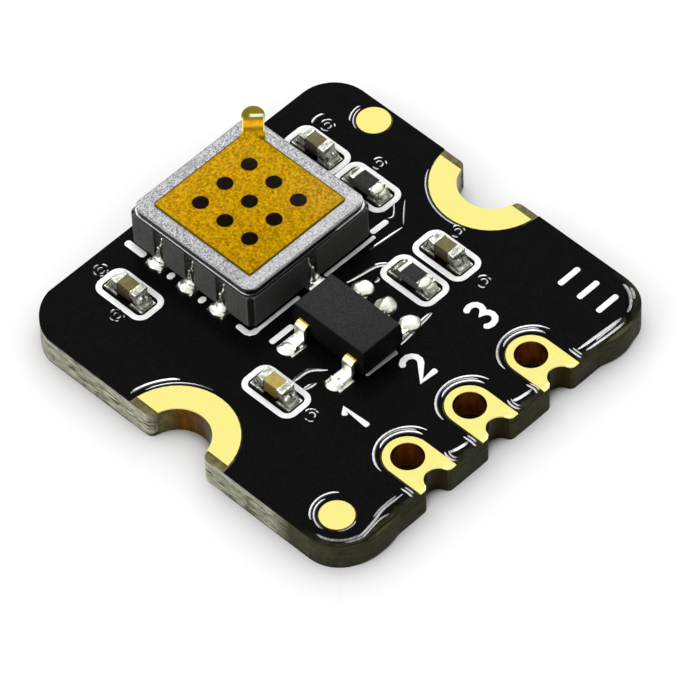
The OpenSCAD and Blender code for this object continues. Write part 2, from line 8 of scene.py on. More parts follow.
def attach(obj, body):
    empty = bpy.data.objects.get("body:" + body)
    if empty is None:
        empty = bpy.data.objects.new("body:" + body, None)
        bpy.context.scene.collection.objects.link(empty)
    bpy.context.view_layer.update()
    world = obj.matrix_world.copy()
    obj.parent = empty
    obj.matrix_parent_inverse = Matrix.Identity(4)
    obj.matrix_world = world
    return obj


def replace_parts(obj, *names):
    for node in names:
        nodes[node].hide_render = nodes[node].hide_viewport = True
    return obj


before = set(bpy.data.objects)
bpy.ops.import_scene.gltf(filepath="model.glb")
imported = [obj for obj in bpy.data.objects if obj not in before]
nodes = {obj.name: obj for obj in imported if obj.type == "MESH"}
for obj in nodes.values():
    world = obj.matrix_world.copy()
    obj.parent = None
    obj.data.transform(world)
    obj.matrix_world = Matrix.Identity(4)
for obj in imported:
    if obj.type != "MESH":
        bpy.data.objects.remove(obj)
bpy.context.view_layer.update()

MM = 0.001

# Camera. The photograph looks down on the front left corner through a long
# lens; its place was fitted to the pin holes, the notches and the lid.
bpy.ops.object.select_all(action="DESELECT")
bpy.ops.object.camera_add(
    location=(-0.081647, -0.085091, 0.142890),
    rotation=(math.radians(39.3214), math.radians(1.4458), math.radians(-45.7493)))
camera = bpy.context.active_object
camera.name = "photo_camera"
camera.data.sensor_width = 36
camera.data.lens = 329.7056
camera.data.clip_start = 0.01
camera.data.clip_end = 20
bpy.context.scene.camera = camera
bpy.context.scene.view_settings.view_transform = "Standard"

# Studio. A pale table and paper-white surroundings, with a soft box at the
# left, and a ring of small lamps that gives the low steps their glints.
bpy.ops.mesh.primitive_plane_add(size=4, location=(0, 0, 0))
table = bpy.context.active_object
table.name = "studio_table"


def new_material(name):
    """Starts a material; the helpers below add their nodes to its tree."""
    global tree
    material = bpy.data.materials.new(name)
    material.use_nodes = True
    tree = material.node_tree
    return material


def wear(piece, material):
    piece.data.materials.clear()
    piece.data.materials.append(material)


def feed(socket, value):
    """Gives a socket a plain value or another node's output."""
    if isinstance(value, bpy.types.Node):
        value = value.outputs[0]
    if isinstance(value, bpy.types.NodeSocket):
        tree.links.new(value, socket)
    else:
        socket.default_value = value


def add_node(kind, inputs, operation=None):
    node = tree.nodes.new("ShaderNode" + kind)
    if operation:
        node.operation = operation
    for label, value in inputs.items():
        feed(node.inputs[label], value)
    return node


def calc(operation, *values):
    return add_node("Math", dict(enumerate(values)), operation).outputs[0]


def vector_calc(operation, *values):
    node = add_node("VectorMath", dict(enumerate(values)), operation)
    return node.outputs["Value" if operation in ("LENGTH", "DOT_PRODUCT") else "Vector"]


def spread(level, low, high, to_low=0.0, to_high=1.0):
    """A level carried from one range to another, and held inside it."""
    ranges = {"Value": level, "From Min": low, "From Max": high, "To Min": to_low, "To Max": to_high}
    return add_node("MapRange", ranges).outputs["Result"]


def looked_at():
    """1 for a ray of the eye: straight, off something glossy or through it."""
    ray = add_node("LightPath", {}).outputs
    return calc("MAXIMUM", calc("MAXIMUM", ray["Is Camera Ray"], ray["Is Glossy Ray"]), ray["Is Transmission Ray"])


paper = new_material("table_paper")
tree.nodes.remove(tree.nodes["Principled BSDF"])
PAPER_GLOW = 0.86
# The floor's glow fades with ambient occlusion, a painted shadow under and round the board; where the floor is
# enclosed, as seen down the holes, the camera gets a near-black diffuse instead: painted shade.
near = add_node("AmbientOcclusion", {"Distance": 3.5 * MM})
near.samples = 12
openness = near.outputs["AO"]
enclosed = spread(openness, 0.28, 0.42)
glow = calc("MULTIPLY", looked_at(), calc("MULTIPLY", openness, enclosed))
white = add_node("Emission", {"Color": (1, 1, 1, 1), "Strength": calc("MULTIPLY", glow, PAPER_GLOW)})
plain = add_node("BsdfDiffuse", {"Color": (0.2, 0.2, 0.2, 1)})
both = add_node("AddShader", {0: white, 1: plain})
painted_hole_shade = add_node("BsdfDiffuse", {"Color": (0.01, 0.006, 0.002, 1)})
by_light = calc("SUBTRACT", 1.0, add_node("LightPath", {}).outputs["Is Camera Ray"])
open_or_not = add_node("MixShader", {0: calc("MAXIMUM", enclosed, by_light), 1: painted_hole_shade, 2: both})
feed(tree.nodes["Material Output"].inputs["Surface"], open_or_not)
wear(table, paper)

world = bpy.data.worlds.new("studio_world")
bpy.context.scene.world = world
world.use_nodes = True
tree = world.node_tree
lean = vector_calc("DOT_PRODUCT", add_node("TexCoord", {}).outputs["Generated"], (-0.72, 0.38, 0.58))
falloff = spread(lean, -0.3, 1.0, 0.10, 0.5)
feed(tree.nodes["Background"].inputs["Strength"], add_node("Mix", {"Factor": looked_at(), "A": falloff, "B": 1.0}))
feed(tree.nodes["Background"].inputs["Color"], (1, 1, 1, 1))


def soft_box(name, toward, distance, size_x, size_y, watts):
    place = Vector(toward).normalized() * distance
    bpy.ops.object.light_add(type="AREA", location=place)
    lamp = bpy.context.active_object
    lamp.name = name
    lamp.data.shape = "RECTANGLE"
    lamp.data.size = size_x
    lamp.data.size_y = size_y
    lamp.data.energy = watts
    lamp.rotation_euler = place.to_track_quat("Z", "Y").to_euler()


soft_box("left_box", (-0.80, 0.22, 0.50), distance=0.25, size_x=0.12, size_y=0.12, watts=0.26)
to_camera = Vector((-0.441, -0.459, 0.772))
STEP_TILT, GLINT_LAMPS = 14, 30
for i in range(GLINT_LAMPS):
    turn, lean_by = math.radians(360 / GLINT_LAMPS * i), math.radians(STEP_TILT)
    aside, up = math.sin(lean_by), math.cos(lean_by)
    facing = Vector((aside * math.cos(turn), aside * math.sin(turn), up))
    toward = 2 * facing.dot(to_camera) * facing - to_camera
    soft_box("glint_lamp_%d" % (i + 1), toward, distance=0.2, size_x=0.023, size_y=0.023, watts=0.0123)

# Laminate. A 0.92 mm core of glass cloth in epoxy, routed to its outline and
# drilled; its sawn side shows the layers of cloth as pale and dark lines.


def place_on_piece():
    return add_node("TexCoord", {}).outputs["Object"]


# One node group holds the blotches that every surface uses.
tree = GRAIN = bpy.data.node_groups.new("grain", "ShaderNodeTree")
for label, value in (("Per metre", 20000.0), ("Low", 0.0), ("High", 1.0), ("Bite", 0.2)):
    tree.interface.new_socket(label, in_out="INPUT", socket_type="NodeSocketFloat").default_value = value
tree.interface.new_socket("Stretch", in_out="INPUT", socket_type="NodeSocketVector").default_value = (1, 1, 1)
tree.interface.new_socket("Level", in_out="OUTPUT", socket_type="NodeSocketFloat")
given = tree.nodes.new("NodeGroupInput").outputs
stretched = vector_calc("MULTIPLY", place_on_piece(), given["Stretch"])
texture = add_node("TexNoise", {"Vector": stretched, "Scale": given["Per metre"], "Detail": 3})
bite = [calc(operation, 0.5, given["Bite"]) for operation in ("SUBTRACT", "ADD")]
feed(tree.nodes.new("NodeGroupOutput").inputs["Level"],
     spread(texture.outputs["Fac"], *bite, given["Low"], given["High"]))


def grain(per_metre, low=0.0, high=1.0, bite=0.2, stretch=(1, 1, 1)):
    """Blotches of one size over an object, from one level to another."""
    node = add_node("Group", {})
    node.node_tree = GRAIN
    for label, value in (("Per metre", per_metre), ("Low", low), ("High", high), ("Bite", bite), ("Stretch", stretch)):
        feed(node.inputs[label], value)
    return node.outputs["Level"]


def blend(level, one, two):
    """Two colours, or nodes' outputs, mixed by a level."""
    mix = tree.nodes.new("ShaderNodeMix")
    mix.data_type = "RGBA"
    feed(mix.inputs["Factor"], level)
    for socket, colour in zip([s for s in mix.inputs if s.type == "RGBA"], (one, two)):
        feed(socket, (*colour, 1) if isinstance(colour, tuple) else colour)
    return [s for s in mix.outputs if s.type == "RGBA"][0]


def between(level, low, high, soft):
    """1 where a level lies between two values."""
    return calc("MULTIPLY", spread(level, low - soft, low + soft), spread(level, high - soft, high + soft, 1.0, 0.0))


def band(axis, low, high, soft):
    """1 where the object's place along an axis lies between two levels."""
    return between(add_node("SeparateXYZ", {0: place_on_piece()}).outputs[axis], low, high, soft)


def finish(colour, rough, bumps=None, specular=0.5, metallic=0.0):
    """Feeds the latest material's surface; bumps are a level and a depth."""
    shader = tree.nodes["Principled BSDF"].inputs
    for label, value in (("Base Color", colour), ("Roughness", rough), ("Specular IOR Level", specular),
                         ("Metallic", metallic)):
        feed(shader[label], value)
    if bumps:
        bump = add_node("Bump", {"Height": bumps[0], "Distance": bumps[1], "Strength": 1.0})
        feed(shader["Normal"], bump.outputs["Normal"])


laminate = new_material("glass_epoxy")
cloth = blend(grain(1500, bite=0.07, stretch=(1, 1, 7)), (0.12, 0.11, 0.05), (0.74, 0.73, 0.58))
fibres = blend(grain(9000, bite=0.2, stretch=(0.5, 0.5, 2)), (0.20, 0.19, 0.11), (0.70, 0.69, 0.54))
layers = blend(grain(2500, bite=0.1), cloth, fibres)
# Pale flecks in a band along the top of the sawn side.
upper_side_band = band("Z", 0.00076, 0.000945, 0.00003)
flecks = blend(grain(2600, bite=0.12, stretch=(1, 1, 2)), layers, (0.66, 0.66, 0.55))
sides = blend(upper_side_band, layers, flecks)
beside_notch = blend(grain(3000), (0.070, 0.060, 0.020), (0.19, 0.17, 0.07))
face_olive = blend(band("X", -0.0059, 0.0059, 0.00002), beside_notch, (0.008, 0.007, 0.004))
on_top = band("Z", 0.000952, 0.0020, 0.000004)
layers = blend(on_top, sides, face_olive)
# Along the pin edge, which faces away from the key light, the laminate is painted darker: painted shade.
pin_edge_shade = band("Y", -0.0080, -0.0041, 0.0004)
pin_edge_shade_colour = blend(grain(5000, stretch=(0.5, 0.5, 3)), (0.022, 0.021, 0.006), (0.078, 0.073, 0.030))
finish(blend(pin_edge_shade, layers, pin_edge_shade_colour), 0.6, (grain(16000, stretch=(0.4, 0.4, 2)), 0.00002), specular=0.15)
wear(nodes["board_core"], laminate)

# Covered copper. Etched foil under the solder mask, with the plated tubes of
# the vias; only its outline shows, as low steps in the mask over it.
foil = new_material("etched_foil")
finish(blend(grain(7000), (0.030, 0.020, 0.011), (0.070, 0.046, 0.025)), grain(12000, 0.35, 0.55), metallic=1.0)
for name in ("traces_top", "ground_plane", "via_barrels"):
    wear(nodes[name], foil)

# Solder mask. A black lacquer printed on both faces and cured; it is flat and
# deep black, with a faint orange peel.


def lacquer(name, specular, deep, pale, rough, peel=None):
    material = new_material(name)
    bumps = (grain(9000), peel) if peel else None
    finish(blend(grain(26000, bite=0.16), deep, pale), grain(3000, *rough), bumps, specular)
    return material


def overlay(level, colour):
    """Lays a colour over the latest material's own where a level is 1."""
    base = tree.nodes["Principled BSDF"].inputs["Base Color"]
    feed(base, blend(level, base.links[0].from_socket, colour))


# Along the pin edge the mask's outer rim is painted the dark olive of the laminate's
# shaded side, standing in for a sloping broken rim: the laminate's colour with painted shade.
CORNER = 5.25
mask_black = lacquer("mask_black", 0.025, (0.0004, 0.0004, 0.0005), (0.0058, 0.0058, 0.0061), (0.16, 0.26), 0.0000015)
outwards = vector_calc("ABSOLUTE", vector_calc("MULTIPLY", place_on_piece(), (1, 1, 0)))
outwards = vector_calc("MAXIMUM", vector_calc("SUBTRACT", outwards, (CORNER * MM, CORNER * MM, 0)), (0, 0, 0))
ragged = calc("MULTIPLY_ADD", grain(4500, -1.0, 1.0), 0.00005, vector_calc("LENGTH", outwards))
rim_shade_band = calc("MULTIPLY", spread(ragged, 0.00104, 0.00114), band("Y", -0.0080, -0.0053, 0.0004))
overlay(rim_shade_band, blend(grain(4000), (0.009, 0.009, 0.004), (0.038, 0.037, 0.020)))
for name in ("mask_top", "mask_bottom"):
    wear(nodes[name], mask_black)

# Steps in the mask. The lacquer climbs over the rims of the copper below and
# leaves a low glossy step round each land, each via, the traces and the pour.
MASK_TOP = 0.995


def trace(points, closed=False):
    """A line of vertices, extruded one after the other, left in edit mode."""
    bpy.ops.object.select_all(action="DESELECT")
    bpy.ops.mesh.primitive_plane_add(size=0.0001, location=(0, 0, 0))
    bpy.ops.object.mode_set(mode="EDIT")
    bpy.ops.mesh.select_all(action="SELECT")
    bpy.ops.mesh.merge(type="CENTER")
    places = [Vector(p) * MM for p in points]
    bpy.ops.transform.translate(value=places[0])
    for a, b in zip(places, places[1:]):
        bpy.ops.mesh.extrude_vertices_move(TRANSFORM_OT_translate={"value": b - a})
    if closed:
        bpy.ops.mesh.extrude_vertices_move(TRANSFORM_OT_translate={"value": places[0] - places[-1]})
        bpy.ops.mesh.select_all(action="SELECT")
        bpy.ops.mesh.remove_doubles(threshold=1e-7)


def chain(points, closed=False):
    """The same line as a curve object."""
    trace(points, closed)
    bpy.ops.object.mode_set(mode="OBJECT")
    bpy.ops.object.convert(target="CURVE")
    line = bpy.context.active_object
    line.data.dimensions = "3D"
    line.data.twist_mode = "Z_UP"
    line.data.use_fill_caps = True
    return line


def choose(*pieces):
    """Selects only these pieces, with the first one active."""
    bpy.ops.object.select_all(action="DESELECT")
    for piece in pieces:
        piece.select_set(True)
    bpy.context.view_layer.objects.active = pieces[0]


def edit_all():
    bpy.ops.object.mode_set(mode="EDIT")
    bpy.ops.mesh.select_all(action="SELECT")


def settle(piece, name, material, angle=40):
    """Closes a mesh piece: its faces outwards, smooth where it is round."""
    choose(piece)
    bpy.ops.object.transform_apply(location=True, rotation=True, scale=True)
    edit_all()
    bpy.ops.mesh.remove_doubles(threshold=1e-8)
    bpy.ops.mesh.normals_make_consistent(inside=False)
    bpy.ops.object.mode_set(mode="OBJECT")
    bpy.ops.object.shade_smooth_by_angle(angle=math.radians(angle))
    piece.name = name
    piece.data.name = name
    wear(piece, material)
    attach(piece, "root")
    return piece


def sweep(points, profile, name, material, closed=False, angle=60, ends=()):
    """A profile, X outwards of an anticlockwise path and Y up, run along it."""
    shape = chain([(x, y, 0) for x, y in profile], closed=True)
    path = chain(points, closed)
    for i, size in enumerate(ends):
        path.data.splines[0].points[i].radius = size
        path.data.splines[0].points[-1 - i].radius = size
    path.data.bevel_mode = "OBJECT"
    path.data.bevel_object = shape
    choose(path)
    bpy.ops.object.convert(target="MESH")
    piece = bpy.context.active_object
    bpy.data.objects.remove(shape)
    settle(piece, name, material, angle)


def arc(x, y, r, start, stop, steps=6):
    turns = [math.radians(start + (stop - start) * i / steps) for i in range(steps + 1)]
    return [(x + r * math.cos(t), y + r * math.sin(t)) for t in turns]


def step_profile(width):
    """A narrow crest whose outer side falls away at one even slope."""
    height = width * math.tan(math.radians(STEP_TILT))
    return [(-0.03, -0.008), (width, -0.008), (width, 0), (0, height), (-0.012, height), (-0.03, 0)]


def ridge_profile(half, flank=0.05):
    """A low flat rib with the same even slope on both sides."""
    height = flank * math.tan(math.radians(STEP_TILT))
    return [(-half, -0.008), (half, -0.008), (half, 0), (half - flank, height), (flank - half, height), (-half, 0)]


GLOSS = (1.0, (0.0008, 0.0008, 0.0009), (0.0045, 0.0045, 0.0048), (0.10, 0.13))
mask_step = lacquer("mask_step_gloss", *GLOSS)
TAPER = (0.3, 0.6, 0.85)


def eased(points, steps=4):
    """A line on the mask with more points, its corners eased."""
    fine = []
    for i in range(len(points) - 1):
        a, b, c, d = (Vector(points[max(0, min(len(points) - 1, i + k))]) for k in (-1, 0, 1, 2))
        for k in range(steps):
            t = k / steps
            square, cube = 2 * a - 5 * b + 4 * c - d, 3 * b - a - 3 * c + d
            fine.append(0.5 * (2 * b + (c - a) * t + square * t * t + cube * t ** 3))
    return [(p[0], p[1], MASK_TOP) for p in fine + [points[-1]]]


def low_step(points, width, name, material=mask_step):
    sweep(eased(points), step_profile(width), "mask_step_" + name, material, angle=8, ends=TAPER)


def round_step(x, y, radii, start, stop, width, name, count=24):
    """A step round a point, its radius changing evenly from end to end."""
    line = []
    for i in range(count + 1):
        turn, r = math.radians(start + (stop - start) * i / count), radii[0] + (radii[1] - radii[0]) * i / count
        line.append((x + r * math.cos(turn), y + r * math.sin(turn), MASK_TOP))
    sweep(line, step_profile(width), "mask_step_" + name, mask_step, angle=8, ends=TAPER)


PIN_Y, PIN_X = -5.3, (-2.54, 0.0, 2.54)
TEST_FRONT, TEST_BACK = (-5.4, -5.3), (5.88, 4.2)
HALF_BOARD, NOTCH_R = 6.5, 1.03
for i, x in enumerate(PIN_X):
    round_step(x, PIN_Y, (1.09, 0.90), 14, 168, 0.058, "pin_%d_far" % (i + 1))
    round_step(x, PIN_Y, (0.90, 0.835), 16, 112, 0.060, "pin_%d_near" % (i + 1))
    round_step(x, PIN_Y, (0.99, 0.96), 30, 96, 0.025, "pin_%d_middle" % (i + 1))
ROUND_STEPS = {
    "test_front_1": (*TEST_FRONT, (0.80, 0.74), 40, 146, 0.050),
    "test_front_2": (*TEST_FRONT, (0.66, 0.62), 74, 186, 0.040),
    "test_front_3": (*TEST_FRONT, (0.565, 0.565), 226, 292, 0.030),
    "test_back_1": (*TEST_BACK, (0.60, 0.60), 84, 165, 0.025),
    "test_back_2": (*TEST_BACK, (0.70, 0.70), 78, 134, 0.038),
    "notch_left_1": (-HALF_BOARD, 0, (2.06, 2.06), 42, 84, 0.075),
    "notch_left_2": (-HALF_BOARD, 0, (1.95, 1.93), 12, 72, 0.030),
    "notch_right": (HALF_BOARD, 0, (1.92, 1.92), 118, 196, 0.035),
}
for label, step in ROUND_STEPS.items():
    round_step(*step, label)
VIAS = ((-3.66, 5.95), (-4.52, 4.4), (4.81, 5.05), (4.78, 2.9), (4.46, -0.58), (3.6, -2.44), (-3.33, -2.27))
VIA_GLINTS = ((0.23, -6, 44, 0.034), (0.22, 62, 118, 0.042), (0.21, 136, 190, 0.030), (0.20, 214, 246, 0.026),
              (0.20, 282, 322, 0.030), (0.10, 20, 150, 0.026), (0.10, 200, 316, 0.030))
for i, (x, y) in enumerate(VIAS):
    for k, (r, start, stop, width) in enumerate(VIA_GLINTS):
        turn = 9 * i * (-1) ** k
        round_step(x, y, (r, r - 0.01), start + turn, stop + turn, width, "via_%d_%d" % (i + 1, k + 1), count=10)
round_step(*VIAS[2], (0.46, 0.46), 56, 122, 0.055, "beside_via")

# Edge of the poured copper. It follows the pin edge and the two front corners,
# and the mask over it slopes down to the board's outline, thick and glassy.
pour_step = lacquer("pour_step_gloss", *GLOSS)
feed(tree.nodes["Principled BSDF"].inputs["IOR"], 1.9)
SHOULDERS = {
    "left": (0.060, arc(-CORNER, -CORNER, 1.02, 186, 262)
             + [(-4.89, -6.19), (-4.42, -6.09), (-4.09, -6.08), (-3.59, -6.12)]),
    "left_low": (0.042, arc(-CORNER, -CORNER, 1.12, 232, 262) + [(-4.73, -6.27), (-4.36, -6.33)]),
    "left_high": (0.035, [(-4.75, -6.09), (-4.40, -6.02), (-4.05, -6.01), (-3.78, -6.03)]),
    "right_high": (0.080, [(3.60, -6.13), (4.11, -6.16), (4.60, -6.19), (4.97, -6.22), (5.31, -6.25)]),
    "right_low": (0.060, [(3.74, -6.33), (4.16, -6.36), (4.50, -6.39), (4.94, -6.41), (5.24, -6.42)]),
    "right_fork": (0.045, [(4.20, -6.29), (4.60, -6.27), (5.03, -6.31)]),
    "right_corner": (0.070, arc(CORNER, -CORNER, 1.03, 288, 350)),
    "right_rim": (0.060, arc(CORNER, -CORNER, 1.14, 316, 338)),
    "pins_1": (0.080, [(-1.64, -6.03), (-1.38, -6.10), (-1.20, -6.13), (-0.98, -6.17)]),
    "pins_2": (0.080, [(0.90, -6.04), (1.15, -6.11), (1.36, -6.14), (1.64, -6.17)]),
}
for label, (width, line) in SHOULDERS.items():
    low_step(line, width, "shoulder_" + label, mask_step if "left" in label else pour_step)
BESIDE_PINS = ((-1.70, -0.05, -6.42), (-0.93, 0.02, -6.46), (0.88, -0.04, -6.44), (1.66, 0.04, -6.40),
               (3.45, 0.0, -6.42), (-3.48, 0.02, -6.42))
for i, (x, hook, low) in enumerate(BESIDE_PINS):
    low_step([(x, -5.95), (x + hook, -6.12), (x + hook, -6.28), (x - hook * 0.5, low)],
             0.050, "beside_pin_%d" % (i + 1))
    x += 0.10
    low_step([(x, -6.0), (x + hook, -6.14), (x + hook, -6.26), (x, -6.36)], 0.035, "beside_pin_thin_%d" % (i + 1))

# Covered traces. Each is a low flat rib in the mask, and beside the sensor
# only one side of a trace glints.
RIBS = (
    ((0.88, 0.45), (1.39, 0.36), (1.81, 0.28), (2.03, 0.18), (2.2, 0.02)),
    ((-2.81, -1.01), (-2.36, -1.02), (-2.09, -1.13), (-1.81, -1.43)),
    ((-2.80, -1.45), (-2.40, -1.53)),
    ((0.27, -2.3), (1.0, -2.2), (1.72, -2.14)),
    ((1.43, -0.14), (1.63, -0.14)),
)
for i, line in enumerate(RIBS):
    sweep(eased(line), ridge_profile(0.075), "mask_rib_%d" % (i + 1), mask_step, angle=8, ends=(0.5, 0.8))
low_step([(3.47, 0.70), (2.9, 0.74), (2.2, 0.81)], 0.055, "beside_sensor_1")
low_step([(4.28, 1.38), (3.9, 1.05), (3.58, 0.76)], 0.024, "beside_sensor_2")
low_step([(3.98, 1.52), (3.62, 1.2), (3.44, 1.25)], 0.030, "beside_sensor_3")

# Gold lands. Copper plated with a thin bright satin gold; the drilled and routed walls are painted brown, partly
# the rough plating and partly painted shade, and the half holes along the pin edge near black: painted shade.
gold = new_material("plated_gold")
bright = blend(grain(24000, bite=0.22), (0.91, 0.80, 0.24), (0.97, 0.90, 0.31))
patchy = blend(grain(1500, 0, 0.5), bright, (0.95, 0.84, 0.25))
notch_wall = blend(grain(6000, stretch=(1, 1, 0.3)), (0.065, 0.024, 0.0003), (0.19, 0.080, 0.001))
olive_end = blend(grain(4000), (0.055, 0.046, 0.010), (0.15, 0.13, 0.045))
notch_wall = blend(band("Y", 0.00078, 0.0020, 0.00012), notch_wall, olive_end)
pin_wall = blend(grain(6000, stretch=(1, 1, 0.3)), (0.24, 0.075, 0.001), (0.62, 0.22, 0.004))
wall_colour_and_shade = blend(band("Y", -0.0059, -0.0045, 0.00003), notch_wall, pin_wall)
half_hole_shade = blend(band("Y", -0.0070, -0.00605, 0.00003), wall_colour_and_shade, (0.022, 0.016, 0.001))
wall = band("Z", 0.000010, 0.000955, 0.000006)
finish(blend(wall, patchy, half_hole_shade), grain(18000, 0.10, 0.19), (grain(30000), 0.000001), metallic=1.0)
for name in nodes:
    if name.startswith("test_land") or name in ("bond_pads", "bond_wires"):
        wear(nodes[name], gold)

# Corners beside the holes. The cutter leaves the board's outline rounded where
# a half hole or a notch meets the edge, through the laminate and the plating.


def prism(points, low, height):
    """An upright block over a closed outline."""
    trace([(x, y, low) for x, y in points], closed=True)
    bpy.ops.mesh.edge_face_add()
    bpy.ops.mesh.extrude_region_move(TRANSFORM_OT_translate={"value": (0, 0, height * MM)})
    bpy.ops.mesh.select_all(action="SELECT")
    bpy.ops.mesh.normals_make_consistent(inside=False)
    bpy.ops.object.mode_set(mode="OBJECT")
    return bpy.context.active_object


def corner_cutter(corner, along_edge, along_wall, r):
    """An upright wedge that rounds one corner of the outline."""
    corner, e, w = Vector(corner), Vector(along_edge).normalized(), Vector(along_wall).normalized()
    middle, past = corner + r * (e + w), 0.06
    line = [corner - past * (e + w), corner + r * e - past * w]
    line += [middle - r * (w * math.cos(math.radians(t)) + e * math.sin(math.radians(t))) for t in range(0, 91, 15)]
    line.append(corner + r * w - past * e)
    return prism(line, -past, 1.12)


def twin(name, suffix):
    """A copy of a CAD solid, chosen, to be worked on in its place."""
    piece = bpy.data.objects.new(name + suffix, nodes[name].data.copy())
    bpy.context.collection.objects.link(piece)
    choose(piece)
    return piece


HALF_HOLE, AT_HOLE, AT_NOTCH = 0.42, 0.15, 0.21
wedges = []
for x in PIN_X:
    for side in (-1, 1):
        mouth = (x + side * HALF_HOLE, -HALF_BOARD)
        wedges.append(corner_cutter(mouth, (side, 0), (-side * 0.027, 0.15), AT_HOLE))
for x in (-1, 1):
    for side in (-1, 1):
        mouth = (x * HALF_BOARD, side * NOTCH_R)
        wedges.append(corner_cutter(mouth, (0, side), (-x * 0.21, -side * 0.021), AT_NOTCH))
choose(*wedges)
bpy.ops.object.join()
plated = [name for name in nodes if name.startswith(("pin_land", "notch_land"))]
for name in ["board_core"] + plated:
    piece = twin(name, "_routed")
    edit_all()
    bpy.ops.mesh.remove_doubles(threshold=1e-8)
    bpy.ops.object.mode_set(mode="OBJECT")
    cut = piece.modifiers.new("cut", "BOOLEAN")
    cut.operation = "DIFFERENCE"
    cut.solver = "EXACT"
    cut.object = wedges[0]
    bpy.ops.object.modifier_apply(modifier="cut")
    settle(piece, name + "_routed", gold if name in plated else laminate, 30)
    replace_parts(piece, name)
bpy.data.objects.remove(wedges[0])

# Panel marks. The board was broken from its panel at the pin edge, where two
# stubs of the laminate stand out; the corners came out a little unequal.
for name in ("mask_top", "mask_bottom"):
    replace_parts(settle(twin(name, "_routed"), name + "_routed", mask_black, 30), name)
RIGHT_OUT, LEFT_IN = 0.24, 0.085
for name in ("board_core", "mask_top", "mask_bottom"):
    for x in (CORNER, -CORNER):
        for v in bpy.data.objects[name + "_routed"].data.vertices:
            out = Vector((v.co.x, v.co.y, 0)) - Vector((x, -x, 0)) * MM
            if out.x * x > 0 and out.y * x < 0 and out.length > 1.0 * MM:
                turn = math.atan2(abs(out.y), abs(out.x))
                if x > 0:
                    v.co += out * RIGHT_OUT * math.sin(turn) ** 2 * math.cos(turn)
                else:
                    v.co -= out * LEFT_IN * math.sin(2 * turn)


def round_edges(piece, width, limit, segments=3):
    """Rounds the edges of the active piece that are sharper than a limit."""
    rounding = piece.modifiers.new("rounding", "BEVEL")
    rounding.width = width * MM
    rounding.segments = segments
    rounding.limit_method = "ANGLE"
    rounding.angle_limit = math.radians(limit)
    bpy.ops.object.modifier_apply(modifier="rounding")


STUBS = {
    "right": ((3.75, -6.40), (3.95, -6.485), (4.19, -6.54), (4.39, -6.60), (4.58, -6.655), (4.80, -6.69),
              (5.05, -6.69), (5.28, -6.65), (5.50, -6.58), (5.77, -6.48), (5.95, -6.39), (5.80, -6.1),
              (5.0, -6.2), (3.9, -6.25)),
    "left": ((-5.95, -6.25), (-5.75, -6.44), (-5.50, -6.54), (-5.25, -6.60), (-4.97, -6.62), (-4.65, -6.62),
             (-4.40, -6.58), (-4.15, -6.52), (-3.95, -6.46), (-4.0, -6.25), (-5.0, -6.2), (-5.7, -6.1)),
}
STUB_LOW, STUB_HEIGHT, STUB_WEAR = 0.05, 0.90, 0.06
for label, outline in STUBS.items():
    stub = prism(outline, STUB_LOW, STUB_HEIGHT)
    round_edges(stub, STUB_WEAR, 50)
    settle(stub, "panel_stub_" + label, laminate, 40)

# Printed ink. White epoxy ink through a screen, on top of the mask: frames
# round the chip parts, corner marks at the sensor, lines at the regulator.
ink = new_material("white_ink")
finish(blend(grain(22000, bite=0.25), (0.90, 0.90, 0.89), (0.98, 0.98, 0.97)), 0.6, (grain(15000), 0.000004), 0.2)
INK_ENDS = (0.45, 0.75, 0.95)


def print_line(points, name, width=0.2, closed=False):
    """An inked line with rounded ends."""
    w = width / 2
    profile = [(-w, -0.004), (w, -0.004), (w, 0.002), (w * 0.8, 0.009), (w * 0.3, 0.012), (-w * 0.3, 0.012),
               (-w * 0.8, 0.009), (-w, 0.002)]
    path = [Vector((x, y, MASK_TOP)) for x, y in points]
    if not closed:
        first, last = [[tip + (beside - tip).normalized() * w * part for part in (0, 0.25, 0.6)]
                       for tip, beside in (path[:2], path[:-3:-1])]
        path = first + path[1:-1] + last[::-1]
    sweep(path, profile, name, ink, closed, ends=() if closed else INK_ENDS)


CAPACITORS = ((-3.72, 4.7), (3.9, 4.6), (3.58, -0.98), (-3.4, -0.93))
RESISTORS = ((3.88, 2.53), (2.27, -0.95))
FRAME_X, FRAME_Y, FRAME_R = 0.50, 0.935, 0.28
for i, (x, y) in enumerate(CAPACITORS + RESISTORS):
    ring = []
    for k, (right, back) in enumerate(((1, 1), (-1, 1), (-1, -1), (1, -1))):
        ring += arc(x + right * (FRAME_X - FRAME_R), y + back * (FRAME_Y - FRAME_R), FRAME_R, 90 * k, 90 * k + 90)
    print_line(ring, "ink_frame_%d" % (i + 1), width=0.185, closed=True)
INK = {
    "sensor_corner": (0.20, ((-2.42, 1.62), (-2.43, 1.24), (-2.39, 1.14), (-2.28, 1.08), (-2.10, 1.07))),
    "sensor_front_left": (0.14, ((-2.20, 1.06), (-0.44, 1.06))),
    "sensor_front_right": (0.14, ((0.62, 1.07), (2.68, 1.05))),
    "sensor_right": (0.20, ((2.70, 1.22), (3.36, 1.20))),
    "sensor_back_left": (0.25, ((-2.40, 5.40), (-2.40, 6.20))),
    "sensor_dot_left_1": (0.30, ((-2.42, 4.22), (-2.42, 4.42))),
    "sensor_dot_left_2": (0.30, ((-2.44, 2.92), (-2.44, 3.12))),
    "sensor_dot_right_1": (0.30, ((2.86, 4.22), (2.86, 4.42))),
    "sensor_dot_right_2": (0.30, ((2.86, 2.92), (2.86, 3.12))),
    "sensor_back_right": (0.20, ((0.9, 6.22), (2.84, 6.22), (2.84, 5.45))),
    "regulator_front": (0.20, ((-1.22, -2.35), (0.02, -2.40))),
    "regulator_back": (0.20, ((-2.24, 0.45), (-1.33, 0.44))),
}
for name, (width, points) in INK.items():
    print_line(points, "ink_" + name, width)

# Pin numbers. Plain figures drawn with strokes of the same ink, one behind
# each pin, and three plain bars near the right edge.


def bend(r_x, r_y, y, start, stop, by):
    """Points along an upright ellipse, by even turns."""
    turns = [math.radians(t) for t in range(start, stop, by)]
    return [(r_x * math.cos(t), y + r_y * math.sin(t)) for t in turns]


